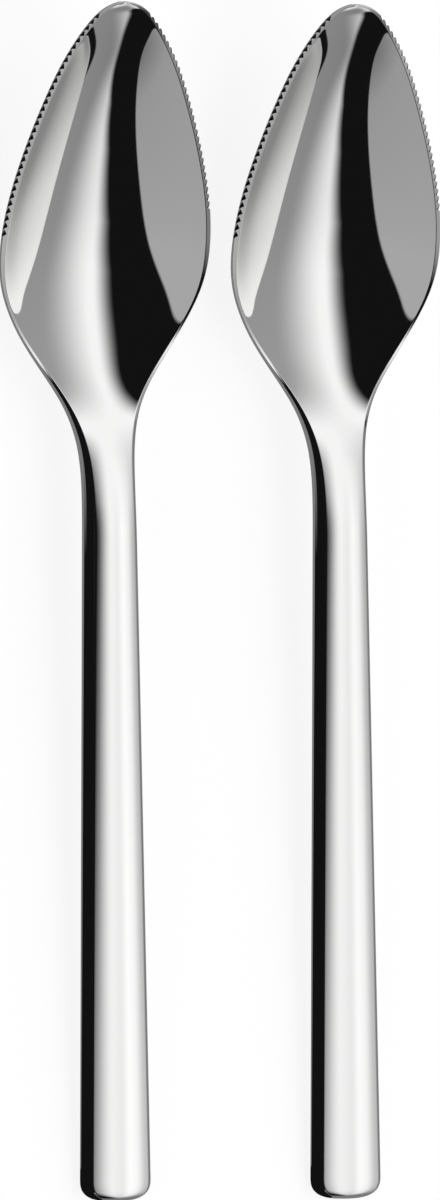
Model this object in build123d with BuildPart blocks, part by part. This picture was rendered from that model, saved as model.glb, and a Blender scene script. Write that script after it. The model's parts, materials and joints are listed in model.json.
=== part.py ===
import os
from math import atan, cos, radians, sin, sqrt

import numpy as np
from build123d import *

# A pair of grapefruit spoons lying side by side, bowls up, tips toward +Y.
# Millimetres. The table is z = 0 and the origin is the middle of the pair.
# Each spoon is one forged piece of stainless steel: pointed bowl, serrated rim, flat handle.
# Distances along a spoon are counted from the tip of the bowl toward the end of the handle.
# Heights of the profile are counted from the middle plane of the handle.

# Lengths along a spoon
overall_length = 170.0
bowl_length = 62.0
neck_length = 14.0
narrowest_behind_bowl = 6.0
end_round_length = 2.6
end_soft_length = 1.2
flat_setback = 8.0
flat_run_out = 2.0

# Widths
bowl_width = 31.8
neck_width = 8.1
handle_end_width = 10.8
spoon_gap = 3.4

# How much farther back than the left spoon the right one lies
right_set_back = 0.98

# Heights and thicknesses; the handle's is that of the blank, before its back is ground flat
rim_height_at_tip = 7.5
rim_slope = 0.2345
heel_lift = 0.5
bowl_depth = 8.3
handle_thickness = 4.0
handle_crown = 0.41
back_grind = 0.06
bowl_wall = 1.5
rim_thickness = 1.5

# Rounded edges
rim_round = 0.3
handle_edge_round = 1.9
end_round_power = 0.3

# Serration of the rim
tooth_pitch = 1.07
tooth_depth = 0.5
tooth_mouth = 0.6
tooth_slant = 40.0
tooth_reach = 1.1
tooth_headroom = 0.4
first_tooth_along_rim = 4.2
teeth_left_side = 32
teeth_right_side = 29

# Fineness of the model
blunt_end = 0.03
bowl_sections = 16
neck_sections = 10
handle_sections = 4
end_sections = 7
rest_step = 0.25
rim_step = 0.02

half_bowl = bowl_width / 2
half_neck = neck_width / 2
narrowest_at = bowl_length + narrowest_behind_bowl
handle_from = bowl_length + neck_length
handle_taper = (handle_end_width - neck_width) / 2 / (overall_length - narrowest_at)
half_handle_start = half_neck + handle_taper * (handle_from - narrowest_at)
handle_top_edge = handle_thickness / 2 - handle_crown
handle_back = back_grind - handle_thickness / 2
thicken_from = 0.65 * bowl_length
thicken_to = bowl_length + 0.85 * neck_length


def through(points, last_slope):
    """Give a smooth curve through the points, free at the first and with a set slope at the last."""
    at = np.array([point[0] for point in points], float)
    value = np.array([point[1] for point in points], float)
    step = np.diff(at)
    rise = np.diff(value) / step
    count = len(at)
    matrix = np.zeros((count, count))
    side = np.zeros(count)
    matrix[0, 0] = 1.0
    for k in range(1, count - 1):
        matrix[k, k - 1] = step[k - 1]
        matrix[k, k] = 2 * (step[k - 1] + step[k])
        matrix[k, k + 1] = step[k]
        side[k] = 6 * (rise[k] - rise[k - 1])
    matrix[-1, -2] = step[-1]
    matrix[-1, -1] = 2 * step[-1]
    side[-1] = 6 * (last_slope - rise[-1])
    bend = np.linalg.solve(matrix, side)

    def curve(position):
        k = min(max(int(np.searchsorted(at, position)) - 1, 0), count - 2)
        before = position - at[k]
        after = at[k + 1] - position
        cubic = (bend[k] * after**3 + bend[k + 1] * before**3) / (6 * step[k])
        low = (value[k] / step[k] - bend[k] * step[k] / 6) * after
        high = (value[k + 1] / step[k] - bend[k + 1] * step[k] / 6) * before
        return float(cubic + low + high)

    return curve


# Half width in plan: shares of the bowl's length and half width, then of the neck's half width.
# The curve runs over the square root of the distance, which gives the tip its round.
bowl_shape = [
    (0.02, 0.21), (0.066, 0.37), (0.135, 0.535), (0.23, 0.695), (0.345, 0.848), (0.458, 0.957),
    (0.573, 1.0), (0.642, 0.97), (0.732, 0.828), (0.824, 0.602),
]
neck_shape = [(0.915, 1.5), (0.984, 1.145)]
outline_points = [(0.0, 0.0)]
outline_points += [(along * bowl_length, across * half_bowl) for along, across in bowl_shape]
outline_points += [(along * bowl_length, across * half_neck) for along, across in neck_shape]
outline_points += [(narrowest_at, half_neck), (handle_from, half_handle_start)]
root_points = [(sqrt(along), across) for along, across in outline_points]
bowl_outline = through(root_points, handle_taper * 2 * sqrt(handle_from))

# Height of the rim: a straight slope down from the tip to the heel of the bowl.
# Behind the heel it climbs through the neck and becomes the upper edge of the handle.
straight_rim = [share * bowl_length for share in (0.0, 0.16, 0.32, 0.48, 0.64)]
heel_at = 0.775 * bowl_length
heel_height = rim_height_at_tip - rim_slope * heel_at + heel_lift
neck_climb = handle_top_edge - heel_height
rim_points = [(along, rim_height_at_tip - rim_slope * along) for along in straight_rim]
rim_points += [
    (heel_at, heel_height),
    (0.87 * bowl_length, heel_height + 0.08 * neck_climb),
    (0.984 * bowl_length, heel_height + 0.54 * neck_climb),
    (narrowest_at, heel_height + 0.89 * neck_climb),
    (handle_from, handle_top_edge),
]
rim_curve = through(rim_points, 0.0)

# Depth of the dish below the rim, which turns into the low crown of the handle.
dish_shape = [
    (0.0, 0.0), (0.071, 0.205), (0.139, 0.455), (0.23, 0.72), (0.345, 0.92), (0.458, 1.0),
    (0.573, 0.945), (0.687, 0.66), (0.779, 0.37), (0.869, 0.155), (0.927, 0.045),
]
crown_shape = [(bowl_length, 0.6), (narrowest_at, 0.9), (handle_from, 1.0)]
dish_points = [(along * bowl_length, deep * bowl_depth) for along, deep in dish_shape]
dish_points += [(along, -share * handle_crown) for along, share in crown_shape]
dish_curve = through(dish_points, 0.0)


def end_share(from_end, length):
    """Give the share of a size that is left near the rounded end of the handle."""
    if from_end >= length:
        return 1.0
    return (1 - (1 - from_end / length) ** 2) ** end_round_power


def half_width(distance):
    """Give half the width of the spoon in plan."""
    if distance <= handle_from:
        return bowl_outline(sqrt(distance))
    straight = half_handle_start + handle_taper * (distance - handle_from)
    return straight * end_share(overall_length - distance, end_round_length)


def thickening(distance):
    """Give 0 in the thin bowl and 1 in the thick handle, with a smooth change between."""
    share = (distance - thicken_from) / (thicken_to - thicken_from)
    share = min(max(share, 0.0), 1.0)
    return share * share * (3 - 2 * share)


def heights(distance):
    """Give the heights of the top middle, top edge, bottom edge and bottom middle of the blank."""
    share = thickening(distance)
    rim = rim_curve(min(distance, handle_from))
    dish = dish_curve(min(distance, handle_from))
    edge_thickness = rim_thickness + (handle_thickness - handle_crown - rim_thickness) * share
    middle_thickness = bowl_wall + (handle_thickness - bowl_wall) * share
    soft = end_share(overall_length - distance, end_soft_length)
    levels = (rim - dish, rim, rim - edge_thickness, rim - dish - middle_thickness)
    return [soft * level for level in levels]


# The back of the handle is ground flat. The flat ends where the blank's soft end rises past it.
flat_share = 1 - 2 * back_grind / handle_thickness
flat_short = end_soft_length * (1 - sqrt(1 - flat_share ** (1 / end_round_power)))

# The spoon lies on the underside of its bowl and on the end of the handle's flat back.
# The slope of the line that touches both gives the angle of the handle to the table.
handle_rest = overall_length - flat_short
rest_slope = 0.0
for k in range(int(bowl_length / rest_step)):
    under = heights(k * rest_step)[3]
    rest_slope = max(rest_slope, (handle_back - under) / (handle_rest - k * rest_step))
lie_cos = cos(atan(rest_slope))
lie_sin = sin(atan(rest_slope))

# The tip's own plane stands across the spoon; sections are offset from it toward the handle.
tip_low_height = rim_height_at_tip - rim_thickness
end_top_height = heights(overall_length - blunt_end)[0]
tip_y = (overall_length * lie_cos + (tip_low_height + end_top_height) * lie_sin) / 2
tip_z = handle_rest * lie_sin - handle_back * lie_cos
spoon_pitch = bowl_width + spoon_gap
left_tip = (-spoon_pitch / 2, tip_y + right_set_back / 2, tip_z)
tip_plane = Plane(origin=left_tip, x_dir=(1, 0, 0), z_dir=(0, -lie_cos, -lie_sin))

# Sections stand closer together toward the tip and toward the end, where the outline is round.
stations = []
for k in range(bowl_sections):
    stations.append(blunt_end + (thicken_from - blunt_end) * (k / bowl_sections) ** 2)
for k in range(neck_sections):
    stations.append(thicken_from + (handle_from - thicken_from) * k / neck_sections)
end_stretch = 1.5 * end_round_length
end_from = overall_length - blunt_end - end_stretch
for k in range(handle_sections):
    stations.append(handle_from + (end_from - handle_from) * k / handle_sections)
for k in range(end_sections):
    left_over = 1 - k / (end_sections - 1)
    stations.append(end_from + end_stretch * (1 - left_over**2))

# Sections of the body: dished or crowned top, rounded edges and underside.
# Each keeps its four edges apart, so that all the sections match.
# A rounded edge bulges three quarters of the way to its curve's handles.
handle_reach = 4 / 3
sections = []
for station in stations:
    wide = half_width(station)
    top_middle, top_edge, bottom_edge, bottom_middle = heights(station)
    edge_round = rim_round + (handle_edge_round - rim_round) * thickening(station)
    bulge = min(edge_round, wide / 2)
    inner = wide - bulge
    outer = inner + handle_reach * bulge
    # A crowned top runs on into the edge; a dished top meets it at the rim's inner corner.
    end_slope = min(2 * (top_edge - top_middle) / inner, 0.0)
    top_turn = top_edge + handle_reach * bulge * end_slope
    profile = Wire([
        Bezier((-inner, top_edge), (0, 2 * top_middle - top_edge), (inner, top_edge)),
        Bezier((inner, top_edge), (outer, top_turn), (outer, bottom_edge), (inner, bottom_edge)),
        Bezier((inner, bottom_edge), (0, 2 * bottom_middle - bottom_edge), (-inner, bottom_edge)),
        Bezier((-inner, bottom_edge), (-outer, bottom_edge), (-outer, top_turn), (-inner, top_edge)),
    ])
    sections.append(Face(tip_plane.offset(station) * profile))

# Places of the teeth: spaced along the rim by the tooth pitch, from near the tip.
# Each is a distance along the spoon and the growth of the half width there.
tooth_places = []
along_rim = 0.0
walk = blunt_end
while len(tooth_places) < max(teeth_left_side, teeth_right_side):
    growth = (half_width(walk + rim_step) - half_width(walk)) / rim_step
    if along_rim >= first_tooth_along_rim + len(tooth_places) * tooth_pitch:
        tooth_places.append((walk, growth))
    along_rim += rim_step * sqrt(1 + growth**2)
    walk += rim_step

# Each notch runs out over the rim, slanted toward the handle, with its mouth upward.
slant_cos = cos(radians(tooth_slant))
slant_sin = sin(radians(tooth_slant))
tooth_planes = []
for side, count in ((-1, teeth_left_side), (1, teeth_right_side)):
    for distance, growth in tooth_places[:count]:
        length = sqrt(1 + growth**2)
        outward = (slant_cos + slant_sin * growth) / length
        handleward = (slant_sin - slant_cos * growth) / length
        spot = tip_plane.offset(distance)
        sideways = side * (half_width(distance) - rim_round / 2)
        place = spot.origin + spot.x_dir * sideways + spot.y_dir * heights(distance)[1]
        notch_axis = spot.x_dir * (side * outward) + spot.z_dir * handleward
        notch_across = spot.y_dir.cross(notch_axis)
        tooth_planes.append(Plane(origin=place, x_dir=notch_across, z_dir=notch_axis))

# What is ground off the back, seen from the side: it deepens over the run-out, then stays level.
side_plane = Plane(origin=left_tip, x_dir=tip_plane.z_dir, z_dir=(-1, 0, 0))
flat_from = handle_from + flat_setback
ground_off = [
    (flat_from - 2 * flat_run_out, handle_back - 2 * back_grind),
    (flat_from, handle_back),
    (overall_length + flat_run_out, handle_back),
    (overall_length + flat_run_out, handle_back - handle_thickness),
    (flat_from - 2 * flat_run_out, handle_back - handle_thickness),
]

# Left spoon: the lofted blank, ground flat at the back, with the serration cut into its rim.
mouth_above = tooth_mouth / 2 * (tooth_depth + tooth_headroom) / tooth_depth
notch = [(-mouth_above, tooth_headroom), (0, -tooth_depth), (mouth_above, tooth_headroom)]
with BuildPart() as left_spoon:
    loft(sections)
    with BuildSketch(*tooth_planes):
        with BuildLine():
            Polyline(*notch, close=True)
        make_face()
    extrude(amount=tooth_reach, both=True, mode=Mode.SUBTRACT)
    with BuildSketch(side_plane):
        with BuildLine():
            Polyline(*ground_off, close=True)
        make_face()
    extrude(amount=handle_end_width, both=True, mode=Mode.SUBTRACT)

# Right spoon: the same forging, one pitch to the right and set back.
with BuildPart() as right_spoon:
    add(left_spoon.part.moved(Location((spoon_pitch, -right_set_back, 0))))

os.makedirs("parts", exist_ok=True)
left_spoon.part.label = "left spoon"
export_step(left_spoon.part, "parts/left_spoon.step")
right_spoon.part.label = "right spoon"
export_step(right_spoon.part, "parts/right_spoon.step")
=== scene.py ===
import json
import math

import bmesh
import bpy
import numpy as np
from mathutils import Matrix, Vector


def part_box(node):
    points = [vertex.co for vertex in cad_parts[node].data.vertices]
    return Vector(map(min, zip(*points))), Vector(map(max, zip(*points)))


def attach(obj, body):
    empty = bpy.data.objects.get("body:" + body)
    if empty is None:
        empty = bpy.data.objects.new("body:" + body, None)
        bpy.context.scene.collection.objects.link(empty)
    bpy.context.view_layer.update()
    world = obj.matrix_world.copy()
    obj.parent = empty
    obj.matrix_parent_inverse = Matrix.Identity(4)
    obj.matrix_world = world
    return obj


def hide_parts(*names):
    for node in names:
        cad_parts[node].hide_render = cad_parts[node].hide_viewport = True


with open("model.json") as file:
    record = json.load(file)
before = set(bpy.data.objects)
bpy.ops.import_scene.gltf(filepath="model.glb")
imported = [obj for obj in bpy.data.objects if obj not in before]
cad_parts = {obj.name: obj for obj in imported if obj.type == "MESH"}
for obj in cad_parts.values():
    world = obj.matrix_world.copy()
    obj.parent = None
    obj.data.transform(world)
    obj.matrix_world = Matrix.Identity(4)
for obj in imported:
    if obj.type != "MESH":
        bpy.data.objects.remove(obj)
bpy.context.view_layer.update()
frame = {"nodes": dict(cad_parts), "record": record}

# A pair of grapefruit spoons: the smooth polished forgings that stand for the two CAD solids.
# A spoon is modelled in millimetres, lying along -Y from the tip of its bowl, and then put in place.
millimetre = 0.001

# Lengths along a spoon, from the tip
overall_length = 170.0
bowl_length = 62.0
neck_length = 14.0
narrowest_behind_bowl = 6.0
end_round_length = 2.6
end_soft_length = 1.2
flat_setback = 8.0
blunt_end = 0.03

# Widths
bowl_width = 31.8
neck_width = 8.1
handle_end_width = 10.8

# Heights and thicknesses
rim_height_at_tip = 7.5
rim_slope = 0.2345
heel_lift = 0.5
bowl_depth = 8.3
handle_thickness = 4.0
handle_crown = 0.41
back_grind = 0.06
bowl_wall = 1.5
rim_thickness = 1.5

# Edges of the section: how far the top's inner corners are set in from the outline, how far the rim's
# top falls inward, and how close a second line of points keeps each of those corners crisp
rim_set_in_at_tip = 0.48
rim_set_in = 0.7
rim_set_in_at_heel = 0.3
rim_fall = 0.145
handle_set_in = 1.03
rim_corner_support = 0.04
handle_corner_support = 0.25
largest_support_share = 0.08
largest_set_in_share = 0.8
end_round_power = 0.3

# Stretches along the spoon, from the tip, where something changes smoothly from one size to another
tip_dish = (0.4, 1.3)
tip_widening = (0.0, 9.0)
heel_narrowing = (34.0, 46.0)
thickening = (0.65 * bowl_length, bowl_length + 0.85 * neck_length)

# Serration: each notch reaches into the rim's top, down the wall and toward the handle
tooth_pitch = 1.07
tooth_into_rim = 0.6
tooth_down_wall = 1.12
tooth_sweep = 0.5
tooth_mouth = 0.78
tooth_reach = 2.0
tooth_headroom = 0.06
first_tooth_along_rim = 4.2
teeth_left_side = 32
teeth_right_side = 29
rim_step = 0.02
smooth_below_angle = math.radians(35.0)

# Fineness of the modelling
bowl_rings = 30
tip_crowding = 2.0
neck_rings = 16
handle_rings = 6
end_rings = 9
bowl_rings_to = 46.0
neck_rings_to = 80.0
end_stretch = 4.5
smooth_levels = 2

# Camera: how far the view leans to the left of straight above the handles, and toward the tips
lean_left = math.radians(22.0)
lean_to_tips = math.radians(3.0)
camera_roll = math.radians(0.5)
camera_distance = 2.9
aim_up = 0.0004
picture_height = 1200
metres_per_pixel = 0.000142
sensor_width = 36.0

# Finishes: colours, roughness from the smoothest to the roughest spot, and fineness of the grain
steel_colour = (0.95, 0.95, 0.945, 1.0)
steel_roughness = (0.02, 0.045)
hairline_fineness = (6000.0, 90.0, 6000.0)
# The steel of the notch faces has a rougher ground grain and a nearly black colour. The dark colour is
# painted shade in the notches.
notch_painted_shade_colour = (0.05, 0.05, 0.049, 1.0)
ground_roughness = (0.2, 0.4)
grain_fineness = 9000.0
noise_low = 0.3
noise_high = 0.7

# Studio: a dome of light round the table. Angles in degrees: across from straight up to the right,
# and along from level with the spoons' middle toward the tips.
dome_radius = 1.5
dome_segments = 64
dome_rings = 32
dome_dark = 0.006
dome_foot = [(-0.02, 0.0), (0.0, 1.0)]
# A dark gap over the spoons ends where the main light begins, at an angle across that bends with
# the angle along. Its edge is soft and it fades further across, each from one angle to another and
# from one strength to another, and it is stronger toward the tips.
light_begins = [
    (-90.0, 75.0), (-69.0, 46.0), (-57.0, 17.0), (-45.0, 5.0), (-25.0, -1.0), (5.0, 1.3), (90.0, 26.0),
]
light_edge = (-6.5, 15.0, 0.0, 0.96)
light_fade = (9.0, 68.0, 1.0, 0.3)
light_along = [(-60.0, 0.78), (45.0, 1.2)]
light_limit = 0.95
# Past the gap's other edge stands a dimmer panel.
panel_across = [(-39.8, 0.395), (-38.2, 0.0)]
panel_along = [(-78.0, 0.2), (-54.0, 0.8), (-15.0, 1.0)]
# The floor and the world are white where they are seen. A mat just above the floor, which only the
# metal mirrors, is darker.
table_width = 0.15
table_length = 0.26
floor_grey = (0.45, 0.45, 0.45, 1.0)
floor_glow = 0.85
world_unseen = 0.5
mat_high = 0.0001
mat_glow = 0.2
# A dark ribbon with a foot stands beside the left edge of each handle: millimetres from that edge,
# above and below the handle's middle, and along the spoon from the tip.
ribbon_away = 5.0
ribbon_above = 10.5
ribbon_below = 1.8
foot_away = 0.6
ribbon_from = 50.0
foot_from = 64.0
ribbon_to = 176.0
# A short toe under the handle's end reaches further right, in millimetres from the handle's middle.
toe_from = 165.0
toe_right = -2.0
toe_high = -1.3
# The ribbon and its foot fade out at the end toward the bowl.
ribbon_fade = [(0.95, 1.0), (1.0, 0.0)]
foot_fade = [(0.87, 1.0), (1.0, 0.0)]
# A strip light hangs above the right side of each handle, in millimetres from its middle. Across it
# the light rises softly and falls again, and it fades out toward the bowl.
strip_left = 1.9
strip_right = 9.4
strip_above = 7.0
strip_from = 60.0
strip_to = 176.0
strip_rise = (0.0, 0.34, 0.0, 0.22)
strip_fall = (0.5, 0.88, 1.0, 0.0)
strip_fade = [(0.87, 1.0), (1.0, 0.0)]
watts_for_glow_of_one = 4.0


def through(points, last_slope):
    """Give a smooth curve through the points, free at the first and with a set slope at the last."""
    at = np.array([point[0] for point in points], float)
    value = np.array([point[1] for point in points], float)
    step = np.diff(at)
    rise = np.diff(value) / step
    count = len(at)
    matrix = np.zeros((count, count))
    side = np.zeros(count)
    matrix[0, 0] = 1.0
    for k in range(1, count - 1):
        matrix[k, k - 1] = step[k - 1]
        matrix[k, k] = 2 * (step[k - 1] + step[k])
        matrix[k, k + 1] = step[k]
        side[k] = 6 * (rise[k] - rise[k - 1])
    matrix[-1, -2] = step[-1]
    matrix[-1, -1] = 2 * step[-1]
    side[-1] = 6 * (last_slope - rise[-1])
    bend = np.linalg.solve(matrix, side)

    def curve(position):
        k = min(max(int(np.searchsorted(at, position)) - 1, 0), count - 2)
        before = position - at[k]
        after = at[k + 1] - position
        cubic = (bend[k] * after**3 + bend[k + 1] * before**3) / (6 * step[k])
        low = (value[k] / step[k] - bend[k] * step[k] / 6) * after
        high = (value[k + 1] / step[k] - bend[k + 1] * step[k] / 6) * before
        return float(cubic + low + high)

    return curve


# Sizes that follow from those above, and how far the spoons lean as they lie
half_bowl = bowl_width / 2
half_neck = neck_width / 2
narrowest_at = bowl_length + narrowest_behind_bowl
handle_from = bowl_length + neck_length
handle_taper = (handle_end_width - neck_width) / 2 / (overall_length - narrowest_at)
half_handle_start = half_neck + handle_taper * (handle_from - narrowest_at)
handle_top_edge = handle_thickness / 2 - handle_crown
handle_back = back_grind - handle_thickness / 2
handle_back_axis = Vector(frame["record"]["mounts"][0]["axis"])
lie_cos = -handle_back_axis.z
lie_sin = handle_back_axis.y

# Half width in plan, a curve over the square root of the distance, which rounds the tip
bowl_shape = [
    (0.02, 0.21), (0.066, 0.37), (0.135, 0.535), (0.23, 0.695), (0.345, 0.848), (0.458, 0.957),
    (0.573, 1.0), (0.642, 0.97), (0.732, 0.828), (0.824, 0.602),
]
neck_shape = [(0.915, 1.5), (0.984, 1.145)]
outline_points = [(0.0, 0.0)]
outline_points += [(along * bowl_length, across * half_bowl) for along, across in bowl_shape]
outline_points += [(along * bowl_length, across * half_neck) for along, across in neck_shape]
outline_points += [(narrowest_at, half_neck), (handle_from, half_handle_start)]
root_points = [(math.sqrt(along), across) for along, across in outline_points]
bowl_outline = through(root_points, handle_taper * 2 * math.sqrt(handle_from))

# Height of the rim, which behind the heel climbs to the upper edge of the handle
straight_rim = [share * bowl_length for share in (0.0, 0.16, 0.32, 0.48, 0.64)]
heel_at = 0.775 * bowl_length
heel_height = rim_height_at_tip - rim_slope * heel_at + heel_lift
neck_climb = handle_top_edge - heel_height
climb_shape = [
    (heel_at, 0.0), (0.87 * bowl_length, 0.08), (0.984 * bowl_length, 0.54), (narrowest_at, 0.89),
    (handle_from, 1.0),
]
rim_points = [(along, rim_height_at_tip - rim_slope * along) for along in straight_rim]
rim_points += [(along, heel_height + climb * neck_climb) for along, climb in climb_shape]
rim_curve = through(rim_points, 0.0)

# Depth of the dish below the rim, which turns into the crown of the handle
dish_shape = [
    (0.0, 0.0), (0.071, 0.205), (0.139, 0.455), (0.23, 0.72), (0.345, 0.92), (0.458, 1.0),
    (0.573, 0.945), (0.687, 0.66), (0.779, 0.37), (0.869, 0.155), (0.927, 0.045),
]
crown_shape = [(bowl_length, 0.3), (narrowest_at, 0.65), (handle_from, 1.0)]
dish_points = [(along * bowl_length, deep * bowl_depth) for along, deep in dish_shape]
dish_points += [(along, -share * handle_crown) for along, share in crown_shape]
dish_curve = through(dish_points, 0.0)

# Points of a half section: shares of the inner half width on the top and on the back,
# and round the edge shares of the set-in and of the edge's thickness
top_shares = (0.0, 0.2, 0.4, 0.58, 0.74, 0.87)
back_shares = (0.9, 0.7, 0.47, 0.24, 0.0)
rim_edge = [(0.8, 0.078), (0.12, 0.0152), (0.02, 0.004), (0.0, 0.05), (0.0, 0.62), (0.5, 1.0)]
points_on_rim_top = 3
handle_edge = [(0.9, 0.05), (0.55, 0.22), (0.22, 0.38), (0.0, 0.62), (0.35, 0.88), (1.0, 1.0)]


def end_share(from_end, length):
    """Give the share of a size that is left near the rounded end of the handle."""
    if from_end >= length:
        return 1.0
    return (1 - (1 - from_end / length) ** 2) ** end_round_power


def half_width(distance):
    """Give half the width of the spoon in plan."""
    if distance <= handle_from:
        return bowl_outline(math.sqrt(distance))
    straight = half_handle_start + handle_taper * (distance - handle_from)
    return straight * end_share(overall_length - distance, end_round_length)


def between(distance, start, stop):
    """Give 0 before the start and 1 past the stop, with a smooth change between."""
    share = min(max((distance - start) / (stop - start), 0.0), 1.0)
    return share * share * (3 - 2 * share)


def rim_land(distance):
    """Give how far in the top of the rim reaches, square to it, measured straight across the spoon."""
    growth = (half_width(distance + rim_step) - half_width(distance)) / rim_step
    land = rim_set_in_at_tip + (rim_set_in - rim_set_in_at_tip) * between(distance, *tip_widening)
    land += (rim_set_in_at_heel - rim_set_in) * between(distance, *heel_narrowing)
    return land * math.sqrt(1 + growth**2)


def heights(distance):
    """Give the heights of the top's middle and edge and of the back's edge and middle."""
    share = between(distance, *thickening)
    rim = rim_curve(min(distance, handle_from))
    dish = dish_curve(min(distance, handle_from)) * between(distance, *tip_dish)
    edge_thickness = rim_thickness + (handle_thickness - handle_crown - rim_thickness) * share
    middle_thickness = bowl_wall + (handle_thickness - bowl_wall) * share
    soft = end_share(overall_length - distance, end_soft_length)
    levels = [rim - dish, rim, rim - edge_thickness, rim - dish - middle_thickness]
    if distance > handle_from + flat_setback:
        levels[2] = max(levels[2], handle_back)
        levels[3] = max(levels[3], handle_back)
    return [soft * level for level in levels]


def half_section(distance):
    """Give the right half of the section, from the middle of the top round to that of the back."""
    wide = half_width(distance)
    top_middle, top_edge, back_edge, back_middle = heights(distance)
    share = between(distance, *thickening)
    land = rim_land(distance)
    set_in = min(land + (handle_set_in - land) * share, largest_set_in_share * wide)
    inner = wide - set_in
    support = rim_corner_support + (handle_corner_support - rim_corner_support) * share
    beside_corner = 1 - min(support / inner, largest_support_share)
    fall = min(distance / rim_set_in_at_tip, 1.0)
    top_end = top_edge - rim_fall * (1 - share) * fall
    points = []
    for out in top_shares + (beside_corner, 1.0):
        points.append((out * inner, top_middle + (top_end - top_middle) * out**2))
    for number, (rim_point, handle_point) in enumerate(zip(rim_edge, handle_edge)):
        rim_in, rim_down = rim_point
        handle_in, handle_down = handle_point
        inward = rim_in + (handle_in - rim_in) * share
        if number < points_on_rim_top:
            rim_down = rim_down * fall
        down = rim_down + (handle_down - rim_down) * share
        points.append((wide - inward * set_in, top_edge + (back_edge - top_edge) * down))
    inner_back = points[-1][0]
    for out in back_shares:
        points.append((out * inner_back, back_middle + (back_edge - back_middle) * out**2))
    return points


def ring_places():
    """Give the distances of the rings, closer together at the tip and at the handle's end."""
    places = []
    for k in range(bowl_rings):
        places.append(blunt_end + (bowl_rings_to - blunt_end) * (k / bowl_rings) ** tip_crowding)
    for k in range(neck_rings):
        places.append(bowl_rings_to + (neck_rings_to - bowl_rings_to) * k / neck_rings)
    end_from = overall_length - end_stretch
    for k in range(handle_rings):
        places.append(neck_rings_to + (end_from - neck_rings_to) * k / handle_rings)
    for k in range(end_rings):
        left_over = 1 - k / (end_rings - 1)
        places.append(end_from + (end_stretch - blunt_end) * (1 - left_over**2))
    return places


def pick(mesh, numbers):
    """Select only these points of the mesh that is being edited."""
    shape = bmesh.from_edit_mesh(mesh)
    shape.verts.ensure_lookup_table()
    for edge in shape.edges:
        edge.select_set(False)
    for point in shape.verts:
        point.select_set(False)
    for number in numbers:
        shape.verts[number].select_set(True)
    shape.select_flush_mode()


def shape_ring(mesh, ring, section):
    """Move the points of a ring, pair by pair from the middle of the top, onto a half section."""
    for number, (across, high) in enumerate(section):
        pick(mesh, {ring[number], ring[-number]})
        shape = bmesh.from_edit_mesh(mesh)
        shape.verts.ensure_lookup_table()
        now = shape.verts[ring[number]].co.copy()
        if 0 < number < len(section) - 1:
            bpy.ops.transform.resize(value=(across / abs(now.x), 1, 1), center_override=(0, 0, 0))
        bpy.ops.transform.translate(value=(0, 0, high - now.z))


def extrude_ring(mesh, ring, step):
    """Extrude a ring toward the handle's end and give the new ring in the same order."""
    pick(mesh, ring)
    bpy.ops.mesh.extrude_edges_move(TRANSFORM_OT_translate={"value": (0, -step, 0)})
    shape = bmesh.from_edit_mesh(mesh)
    shape.verts.ensure_lookup_table()
    following = []
    for number in ring:
        point = shape.verts[number]
        for edge in point.link_edges:
            if edge.other_vert(point).select:
                following.append(edge.other_vert(point).index)
    return following


def select_only(pieces):
    """Select these pieces alone, and make the first of them active."""
    bpy.ops.object.select_all(action="DESELECT")
    for piece in pieces:
        piece.select_set(True)
    bpy.context.view_layer.objects.active = pieces[0]


def apply_modifier(piece, modifier):
    """Apply a modifier to a piece."""
    select_only([piece])
    bpy.ops.object.modifier_apply(modifier=modifier.name)


def turn_faces_outward():
    """Turn all faces of the piece that is being edited outward, and stop editing it."""
    bpy.ops.mesh.select_all(action="SELECT")
    bpy.ops.mesh.normals_make_consistent(inside=False)
    bpy.ops.object.mode_set(mode="OBJECT")


def spoon_blank():
    """Model a spoon without its serration: a ring at the tip, extruded section by section."""
    places = ring_places()
    section = half_section(places[0])
    count = 2 * len(section) - 2
    bpy.ops.object.select_all(action="DESELECT")
    bpy.ops.mesh.primitive_circle_add(vertices=count, radius=1.0, rotation=(math.radians(90), 0, 0))
    spoon = bpy.context.object
    bpy.ops.object.transform_apply(location=False, rotation=True, scale=False)
    mesh = spoon.data
    bpy.ops.object.mode_set(mode="EDIT")
    bpy.ops.mesh.select_all(action="SELECT")
    bpy.ops.transform.translate(value=(0, -places[0], 0))
    tip_ring = list(range(count))
    shape_ring(mesh, tip_ring, section)
    ring = tip_ring
    for before, place in zip(places, places[1:]):
        ring = extrude_ring(mesh, ring, place - before)
        shape_ring(mesh, ring, half_section(place))
    for end in (tip_ring, ring):
        pick(mesh, end)
        bpy.ops.mesh.edge_face_add()
    turn_faces_outward()
    smooth = spoon.modifiers.new("smooth", "SUBSURF")
    smooth.levels = smooth_levels
    smooth.render_levels = smooth_levels
    apply_modifier(spoon, smooth)
    return spoon


def tooth_places():
    """Give the places along the spoon where the teeth stand, and the growth of its half width."""
    places = []
    along_rim = 0.0
    walk = blunt_end
    while len(places) < max(teeth_left_side, teeth_right_side):
        growth = (half_width(walk + rim_step) - half_width(walk)) / rim_step
        if along_rim >= first_tooth_along_rim + len(places) * tooth_pitch:
            places.append((walk, growth))
        along_rim += rim_step * math.sqrt(1 + growth**2)
        walk += rim_step
    return places


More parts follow.
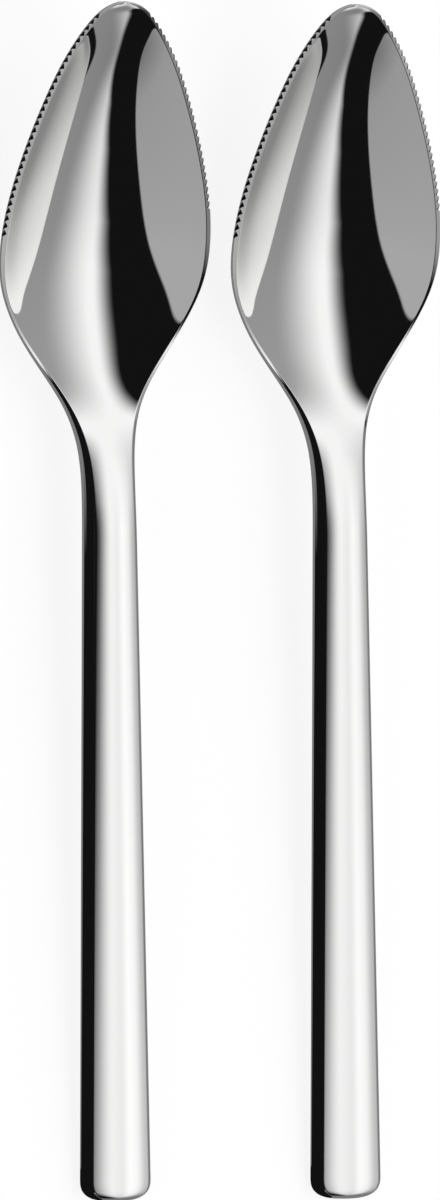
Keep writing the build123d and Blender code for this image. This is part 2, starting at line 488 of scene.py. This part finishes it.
def serration_cutter(finish):
    """Model the wedges that cut the notches of one spoon: one wedge, copied along the rim."""
    # A three-sided prism of radius 1. Its middle lies at two thirds of the triangle's height.
    prism_height = 1.5
    prism_half_side = math.cos(math.radians(30))
    bpy.ops.object.select_all(action="DESELECT")
    bpy.ops.mesh.primitive_cylinder_add(vertices=3, radius=1.0, depth=2.0)
    wedge = bpy.context.object
    # The wedges carry the nearly black notch steel, whose dark colour is painted shade, onto the faces
    # they cut.
    wedge.data.materials.append(finish)
    up = Vector((0.0, 0.0, 1.0))
    wedges = []
    for side, count in ((-1, teeth_left_side), (1, teeth_right_side)):
        for distance, growth in tooth_places()[:count]:
            outward = Vector((side, growth, 0.0)).normalized()
            handleward = Vector((side * growth, -1.0, 0.0)).normalized()
            way_out = outward * tooth_into_rim
            groove = way_out + handleward * tooth_sweep - up * tooth_down_wall
            groove.normalize()
            opening = way_out - groove * way_out.dot(groove)
            depth = opening.length
            opening.normalize()
            high = depth + tooth_headroom
            half_mouth = tooth_mouth / 2 * high / depth
            across = groove.cross(opening)
            turn = Matrix((
                across * half_mouth / prism_half_side,
                -opening * high / prism_height,
                groove * tooth_reach,
            )).transposed().to_4x4()
            edge = Vector((side * half_width(distance), -distance, heights(distance)[1]))
            turn.translation = edge + opening * (high * 2 / 3 - depth)
            copy = wedge.copy()
            copy.data = wedge.data.copy()
            bpy.context.scene.collection.objects.link(copy)
            copy.matrix_world = turn
            wedges.append(copy)
    bpy.data.objects.remove(wedge)
    select_only(wedges)
    bpy.ops.object.transform_apply(location=True, rotation=True, scale=True)
    bpy.ops.object.join()
    bpy.ops.object.mode_set(mode="EDIT")
    turn_faces_outward()
    return wedges[0]


def cut_serration(spoon, finish):
    """Cut the notches into the rim of the bowl."""
    cutter = serration_cutter(finish)
    cut = spoon.modifiers.new("serration", "BOOLEAN")
    cut.operation = "DIFFERENCE"
    cut.solver = "EXACT"
    # The cut faces take the wedges' nearly black steel, which is painted shade in the notches.
    cut.material_mode = "TRANSFER"
    cut.object = cutter
    apply_modifier(spoon, cut)
    bpy.data.objects.remove(cutter)
    bpy.ops.object.shade_smooth_by_angle(angle=smooth_below_angle)


def spoon_place(spoon, node):
    """Give the place of a spoon's origin where its CAD solid lies."""
    low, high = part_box(node)
    tip_low_height = rim_height_at_tip - rim_thickness
    tip = high[1] + (tip_low_height * lie_sin + blunt_end * lie_cos) * millimetre
    lowest = min(point.co.y * lie_sin + point.co.z * lie_cos for point in spoon.data.vertices)
    return (low[0] + high[0]) / 2, tip, low[2] - lowest * millimetre


def lay_down(piece, place):
    """Lay a piece that was modelled in millimetres down at a place, leaning as the spoons lie."""
    select_only([piece])
    piece.rotation_euler = (math.asin(lie_sin), 0.0, 0.0)
    piece.scale = (millimetre, millimetre, millimetre)
    piece.location = place
    bpy.ops.object.transform_apply(location=True, rotation=True, scale=True)


def link_value(tree, value, socket):
    """Feed a socket from another socket, or set it to a number."""
    if isinstance(value, bpy.types.NodeSocket):
        tree.links.new(value, socket)
    else:
        socket.default_value = value


def arithmetic(tree, operation, first, second=0.0):
    """Add a math node and give its result."""
    node = tree.nodes.new("ShaderNodeMath")
    node.operation = operation
    link_value(tree, first, node.inputs[0])
    link_value(tree, second, node.inputs[1])
    return node.outputs[0]


def spread_range(tree, value, lowest, highest, first=0.0, last=1.0):
    """Map a value from one range to another, kept inside it."""
    node = tree.nodes.new("ShaderNodeMapRange")
    node.inputs["From Min"].default_value = lowest
    node.inputs["From Max"].default_value = highest
    node.inputs["To Min"].default_value = first
    node.inputs["To Max"].default_value = last
    link_value(tree, value, node.inputs["Value"])
    return node.outputs["Result"]


def soft_change(tree, value, start, stop, first, last):
    """Change smoothly from a first result to a last one while a value goes from start to stop."""
    result = spread_range(tree, value, start, stop, first, last)
    result.node.interpolation_type = "SMOOTHSTEP"
    return result


def curve_value(tree, value, stops):
    """Turn a value into another by straight runs between stops of (value, result)."""
    lowest = stops[0][0]
    highest = stops[-1][0]
    smallest = min(result for place, result in stops)
    largest = max(result for place, result in stops)
    ramp = tree.nodes.new("ShaderNodeValToRGB")
    tree.links.new(spread_range(tree, value, lowest, highest), ramp.inputs["Fac"])
    elements = ramp.color_ramp.elements
    elements.remove(elements[1])
    for number, (place, result) in enumerate(stops):
        position = (place - lowest) / (highest - lowest)
        element = elements[0] if number == 0 else elements.new(position)
        element.position = position
        grey = (result - smallest) / (largest - smallest)
        element.color = (grey, grey, grey, 1.0)
    return spread_range(tree, ramp.outputs["Color"], 0.0, 1.0, smallest, largest)


def seen_directly_or_mirrored(tree):
    """Give 1 for what the camera sees, straight, in metal or through glass, and 0 for the rest."""
    path = tree.nodes.new("ShaderNodeLightPath")
    either = arithmetic(tree, "MAXIMUM", path.outputs["Is Camera Ray"], path.outputs["Is Glossy Ray"])
    return arithmetic(tree, "MAXIMUM", either, path.outputs["Is Transmission Ray"])


def steel(name, colour, fineness, roughness):
    """Make a steel whose roughness follows a grain of some fineness in each direction."""
    material = bpy.data.materials.new(name)
    material.use_nodes = True
    tree = material.node_tree
    shader = tree.nodes["Principled BSDF"]
    shader.inputs["Metallic"].default_value = 1.0
    shader.inputs["Base Color"].default_value = colour
    place = tree.nodes.new("ShaderNodeTexCoord")
    stretch = tree.nodes.new("ShaderNodeMapping")
    stretch.inputs["Scale"].default_value = fineness
    tree.links.new(place.outputs["Object"], stretch.inputs["Vector"])
    grain = tree.nodes.new("ShaderNodeTexNoise")
    grain.inputs["Scale"].default_value = 1.0
    tree.links.new(stretch.outputs["Vector"], grain.inputs["Vector"])
    rough = spread_range(tree, grain.outputs["Fac"], noise_low, noise_high, *roughness)
    tree.links.new(rough, shader.inputs["Roughness"])
    return material


def bare_material(name):
    """Make a material with no shader yet, and give it, its nodes and where its surface is fed in."""
    material = bpy.data.materials.new(name)
    material.use_nodes = True
    tree = material.node_tree
    tree.nodes.clear()
    output = tree.nodes.new("ShaderNodeOutputMaterial")
    return material, tree, output.inputs["Surface"]


def dome_light():
    """The glow of the dome, painted by the angles across and along."""
    material, tree, surface = bare_material("studio_dome")
    glow = tree.nodes.new("ShaderNodeEmission")
    place = tree.nodes.new("ShaderNodeTexCoord")
    outward = tree.nodes.new("ShaderNodeVectorMath")
    outward.operation = "NORMALIZE"
    tree.links.new(place.outputs["Object"], outward.inputs[0])
    split = tree.nodes.new("ShaderNodeSeparateXYZ")
    tree.links.new(outward.outputs["Vector"], split.inputs[0])
    turn = arithmetic(tree, "ARCTAN2", split.outputs["X"], split.outputs["Z"])
    across = arithmetic(tree, "DEGREES", turn)
    along = arithmetic(tree, "DEGREES", arithmetic(tree, "ARCSINE", split.outputs["Y"]))
    past_edge = arithmetic(tree, "SUBTRACT", across, curve_value(tree, along, light_begins))
    light = soft_change(tree, past_edge, *light_edge)
    light = arithmetic(tree, "MULTIPLY", light, soft_change(tree, across, *light_fade))
    light = arithmetic(tree, "MULTIPLY", light, curve_value(tree, along, light_along))
    light = arithmetic(tree, "MINIMUM", light, light_limit)
    panel = curve_value(tree, across, panel_across)
    panel = arithmetic(tree, "MULTIPLY", panel, curve_value(tree, along, panel_along))
    both = arithmetic(tree, "MAXIMUM", light, panel)
    above = curve_value(tree, split.outputs["Z"], dome_foot)
    both = arithmetic(tree, "MULTIPLY", both, above)
    strength = arithmetic(tree, "MAXIMUM", both, dome_dark)
    tree.links.new(strength, glow.inputs["Strength"])
    tree.links.new(glow.outputs[0], surface)
    return material


def floor_paper():
    """White paper where it is seen, less the shadow of the spoons."""
    material, tree, surface = bare_material("floor")
    paper = tree.nodes.new("ShaderNodeBsdfDiffuse")
    paper.inputs["Color"].default_value = floor_grey
    white = tree.nodes.new("ShaderNodeEmission")
    level = arithmetic(tree, "MULTIPLY", seen_directly_or_mirrored(tree), floor_glow)
    tree.links.new(level, white.inputs["Strength"])
    both = tree.nodes.new("ShaderNodeAddShader")
    tree.links.new(paper.outputs[0], both.inputs[0])
    tree.links.new(white.outputs[0], both.inputs[1])
    tree.links.new(both.outputs[0], surface)
    return material


def even_glow(name, strength):
    """A material that glows evenly."""
    material, tree, surface = bare_material(name)
    glow = tree.nodes.new("ShaderNodeEmission")
    glow.inputs["Strength"].default_value = strength
    tree.links.new(glow.outputs[0], surface)
    return material


def dark_card(fade):
    """A dark card that is clear from behind and fades out at one end."""
    material, tree, surface = bare_material("dark_card")
    glow = tree.nodes.new("ShaderNodeEmission")
    glow.inputs["Strength"].default_value = dome_dark
    clear = tree.nodes.new("ShaderNodeBsdfTransparent")
    side = tree.nodes.new("ShaderNodeNewGeometry")
    place = tree.nodes.new("ShaderNodeTexCoord")
    split = tree.nodes.new("ShaderNodeSeparateXYZ")
    tree.links.new(place.outputs["UV"], split.inputs[0])
    front = arithmetic(tree, "SUBTRACT", 1.0, side.outputs["Backfacing"])
    solid = arithmetic(tree, "MULTIPLY", front, curve_value(tree, split.outputs["Y"], fade))
    both = tree.nodes.new("ShaderNodeMixShader")
    tree.links.new(solid, both.inputs[0])
    tree.links.new(clear.outputs[0], both.inputs[1])
    tree.links.new(glow.outputs[0], both.inputs[2])
    tree.links.new(both.outputs[0], surface)
    return material


def add_sheet(name, width, length, middle, upright=False):
    """Add a flat sheet with its middle at a place, lying level or standing along the spoons."""
    bpy.ops.object.select_all(action="DESELECT")
    bpy.ops.mesh.primitive_plane_add(size=1.0)
    sheet = bpy.context.object
    sheet.name = name
    sheet.scale = (width, length, 1.0)
    if upright:
        sheet.rotation_euler = (0.0, math.radians(90), 0.0)
    sheet.location = middle
    bpy.ops.object.transform_apply(location=True, rotation=True, scale=True)
    return sheet


def show_to_metal_only(piece):
    """Hide a piece of the studio from everything but the metal that mirrors it."""
    piece.visible_camera = False
    piece.visible_diffuse = False
    piece.visible_shadow = False


def set_card(name, place, section, along, material):
    """Set up a card that only metal mirrors, in millimetres from a spoon's origin."""
    left, right, low, high = section
    width = max(right - left, high - low)
    middle = ((left + right) / 2, -(along[0] + along[1]) / 2, (low + high) / 2)
    card = add_sheet(name, width, along[1] - along[0], middle, upright=high > low)
    lay_down(card, place)
    show_to_metal_only(card)
    card.data.materials.append(material)


def hang_strip_light(name, place):
    """Hang a strip light above a handle, for the metal alone to mirror."""
    light = bpy.data.lights.new(name, "AREA")
    light.shape = "RECTANGLE"
    light.size = (strip_right - strip_left) * millimetre
    light.size_y = (strip_to - strip_from) * millimetre
    light.energy = watts_for_glow_of_one * light.size * light.size_y
    light.use_nodes = True
    tree = light.node_tree
    spot = tree.nodes.new("ShaderNodeNewGeometry")
    split = tree.nodes.new("ShaderNodeSeparateXYZ")
    tree.links.new(spot.outputs["Parametric"], split.inputs[0])
    glow = soft_change(tree, split.outputs["X"], *strip_rise)
    glow = arithmetic(tree, "MULTIPLY", glow, soft_change(tree, split.outputs["X"], *strip_fall))
    glow = arithmetic(tree, "MULTIPLY", glow, curve_value(tree, split.outputs["Y"], strip_fade))
    tree.links.new(glow, tree.nodes["Emission"].inputs["Strength"])
    lamp = bpy.data.objects.new(name, light)
    bpy.context.scene.collection.objects.link(lamp)
    middle = Vector((strip_left + strip_right, -strip_from - strip_to, 2 * strip_above)) / 2
    lean = Matrix.Rotation(math.asin(lie_sin), 4, "X")
    lamp.matrix_world = Matrix.Translation(Vector(place) + lean @ middle * millimetre) @ lean
    lamp.visible_camera = False
    lamp.visible_diffuse = False


# The two spoons
polished = steel("polished_steel", steel_colour, hairline_fineness, steel_roughness)
# The notch steel is nearly black, which is painted shade in the notches, with a rougher ground grain.
notch_steel_with_painted_shade = steel("ground_steel_with_painted_shade", notch_painted_shade_colour, [grain_fineness] * 3, ground_roughness)
left_spoon = spoon_blank()
left_spoon.data.materials.append(polished)
cut_serration(left_spoon, notch_steel_with_painted_shade)
left_spoon.name = "left_spoon_polished"
right_spoon = left_spoon.copy()
right_spoon.data = left_spoon.data.copy()
right_spoon.name = "right_spoon_polished"
bpy.context.scene.collection.objects.link(right_spoon)
spoon_places = {}
for spoon, node in ((left_spoon, "left_spoon"), (right_spoon, "right_spoon")):
    spoon_places[node] = spoon_place(spoon, node)
    lay_down(spoon, spoon_places[node])
    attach(spoon, node)
    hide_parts(node)

# The dome of soft light
bpy.ops.object.select_all(action="DESELECT")
bpy.ops.mesh.primitive_uv_sphere_add(
    segments=dome_segments, ring_count=dome_rings, radius=dome_radius
)
dome = bpy.context.object
dome.name = "studio_dome"
bpy.ops.object.mode_set(mode="EDIT")
bpy.ops.mesh.select_all(action="SELECT")
bpy.ops.mesh.flip_normals()
bpy.ops.object.mode_set(mode="OBJECT")
dome.visible_camera = False
dome.visible_shadow = False
dome.data.materials.append(dome_light())

# World: white where it is seen
world = bpy.data.worlds.new("studio")
bpy.context.scene.world = world
world.use_nodes = True
tree = world.node_tree
tree.nodes.clear()
output = tree.nodes.new("ShaderNodeOutputWorld")
white = tree.nodes.new("ShaderNodeBackground")
white.inputs["Color"].default_value = (1.0, 1.0, 1.0, 1.0)
level = spread_range(tree, seen_directly_or_mirrored(tree), 0.0, 1.0, world_unseen, 1.0)
tree.links.new(level, white.inputs["Strength"])
tree.links.new(white.outputs[0], output.inputs["Surface"])

# Floor, and the mat that the metal mirrors
floor = add_sheet("floor", table_width, table_length, (0.0, 0.0, 0.0))
floor.data.materials.append(floor_paper())
mat = add_sheet("mirrored_mat", table_width, table_length, (0.0, 0.0, mat_high))
show_to_metal_only(mat)
mat.data.materials.append(even_glow("mirrored_mat", mat_glow))

# Dark ribbons at the left of the handles and strip lights above them
ribbon_finish = dark_card(ribbon_fade)
foot_finish = dark_card(foot_fade)
edge = -handle_end_width / 2
far_left = edge - ribbon_away
near_left = edge - foot_away
for node, place in spoon_places.items():
    upright = (far_left, far_left, -ribbon_below, ribbon_above)
    set_card(node + "_ribbon", place, upright, (ribbon_from, ribbon_to), ribbon_finish)
    foot = (far_left, near_left, -ribbon_below, -ribbon_below)
    set_card(node + "_foot", place, foot, (foot_from, ribbon_to), foot_finish)
    toe = (far_left, toe_right, toe_high, toe_high)
    set_card(node + "_toe", place, toe, (toe_from, ribbon_to), ribbon_finish)
    hang_strip_light(node + "_strip", place)

# Camera at the photograph's angle
to_tips = Vector((0.0, lie_cos, lie_sin))
off_handle = Vector((0.0, -lie_sin, lie_cos))
to_right = Vector((1.0, 0.0, 0.0))
toward = -math.sin(lean_left) * math.cos(lean_to_tips) * to_right
toward += math.sin(lean_to_tips) * to_tips
toward += math.cos(lean_left) * math.cos(lean_to_tips) * off_handle
level_up = (to_tips - toward * to_tips.dot(toward)).normalized()
level_right = level_up.cross(toward)
picture_up = level_up * math.cos(camera_roll) + level_right * math.sin(camera_roll)
picture_right = level_right * math.cos(camera_roll) - level_up * math.sin(camera_roll)
camera_data = bpy.data.cameras.new("camera")
camera = bpy.data.objects.new("camera", camera_data)
bpy.context.scene.collection.objects.link(camera)
bpy.context.scene.camera = camera
camera_data.sensor_width = sensor_width
camera_data.lens = sensor_width * camera_distance / (picture_height * metres_per_pixel)
places_right = []
places_up = []
for node in frame["nodes"].values():
    for vertex in node.data.vertices:
        places_right.append(vertex.co.dot(picture_right))
        places_up.append(vertex.co.dot(picture_up))
aim = picture_right * (min(places_right) + max(places_right)) / 2
aim += picture_up * ((min(places_up) + max(places_up)) / 2 + aim_up)
pose = Matrix((picture_right, picture_up, toward)).transposed().to_4x4()
pose.translation = aim + toward * camera_distance
camera.matrix_world = pose

bpy.context.scene.view_settings.view_transform = "Standard"
